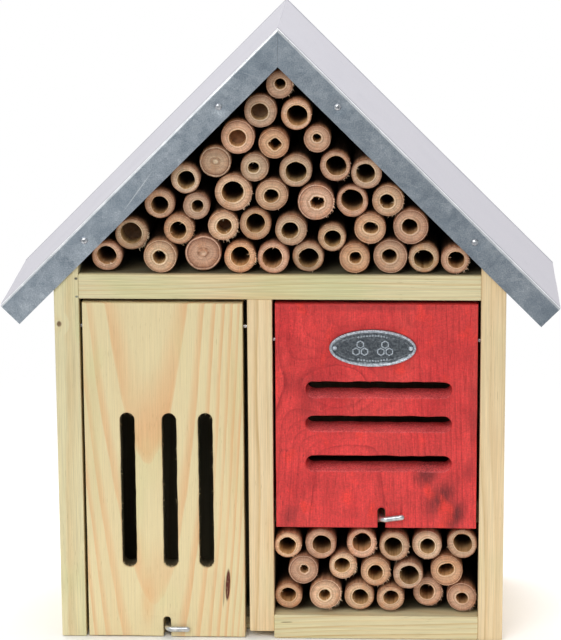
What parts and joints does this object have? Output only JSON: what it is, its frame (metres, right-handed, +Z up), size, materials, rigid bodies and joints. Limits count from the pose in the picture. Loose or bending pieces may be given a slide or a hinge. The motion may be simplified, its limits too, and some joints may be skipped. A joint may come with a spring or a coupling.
{
  "type": "insect hotel",
  "caption": "Small gabled wooden insect hotel with a sheet metal roof, bamboo nest tubes and slotted doors that swing open from below.",
  "frame": {"origin": "middle of the base, on the plane that the object stands on", "axes": "+X to the right seen from the front, +Y to the back, +Z up"},
  "size_m": [0.2354, 0.0898, 0.2653],
  "materials": {
    "pine": "planed",
    "door_pine": "planed",
    "red_stained_pine": "stained",
    "bamboo": "raw",
    "galvanised_steel": "galvanised",
    "steel_nails": "satin",
    "zinc_plated_steel": "zinc plated",
    "badge_metal": "satin"
  },
  "bodies": {
    "cabinet": {"attic_shelf": "pine", "back_nails": "steel_nails", "back_panel": "pine", "divider_board": "pine", "divider_brads": "steel_nails", "gable_tubes_row_1": "bamboo", "gable_tubes_row_2": "bamboo", "gable_tubes_row_3": "bamboo", "gable_tubes_row_4": "bamboo", "gable_tubes_row_5": "bamboo", "gable_tubes_row_6": "bamboo", "gable_tubes_row_7": "bamboo", "hanger_plate": "zinc_plated_steel", "hanger_screws": "zinc_plated_steel", "left_door_pivot_nails": "steel_nails", "left_floor_board": "pine", "left_roof_board": "pine", "left_side_board": "pine", "left_side_brads": "steel_nails", "nook_shelf": "pine", "nook_tube_01": "bamboo", "nook_tube_02": "bamboo", "nook_tube_03": "bamboo", "nook_tube_04": "bamboo", "nook_tube_05": "bamboo", "nook_tube_06": "bamboo", "nook_tube_07": "bamboo", "nook_tube_08": "bamboo", "nook_tube_09": "bamboo", "nook_tube_10": "bamboo", "nook_tube_11": "bamboo", "nook_tube_12": "bamboo", "nook_tube_13": "bamboo", "nook_tube_14": "bamboo", "nook_tube_15": "bamboo", "nook_tube_16": "bamboo", "nook_tube_17": "bamboo", "red_door_pivot_nails": "steel_nails", "right_floor_board": "pine", "right_roof_board": "pine", "right_side_board": "pine", "right_side_brads": "steel_nails", "roof_board_brads": "steel_nails", "roof_nails": "steel_nails", "roof_sheet": "galvanised_steel", "shelf_brads": "steel_nails"},
    "left_door": {"left_door": "door_pine"},
    "red_door": {"red_door": "red_stained_pine", "badge_plate": "badge_metal", "badge_pins": "badge_metal"},
    "left_hook": {"left_hook": "zinc_plated_steel"},
    "red_hook": {"red_hook": "zinc_plated_steel"}
  },
  "joints": [
    {"name": "left_door_hinge", "type": "hinge", "parent": "cabinet", "child": "left_door", "pos_m": [-0.04945, -0.03675, 0.1377], "axis": [-1, 0, 0], "range_deg": [0, 130]},
    {"name": "red_door_hinge", "type": "hinge", "parent": "cabinet", "child": "red_door", "pos_m": [0.0407, -0.03675, 0.1322], "axis": [-1, 0, 0], "range_deg": [0, 130]},
    {"name": "left_hook_turn", "type": "hinge", "parent": "cabinet", "child": "left_hook", "pos_m": [-0.04935, -0.042, 0.0042], "axis": [0, 1, 0], "range_deg": [0, 90]},
    {"name": "red_hook_turn", "type": "hinge", "parent": "cabinet", "child": "red_hook", "pos_m": [0.0429, -0.042, 0.05445], "axis": [0, 1, 0], "range_deg": [0, 98]}
  ]
}
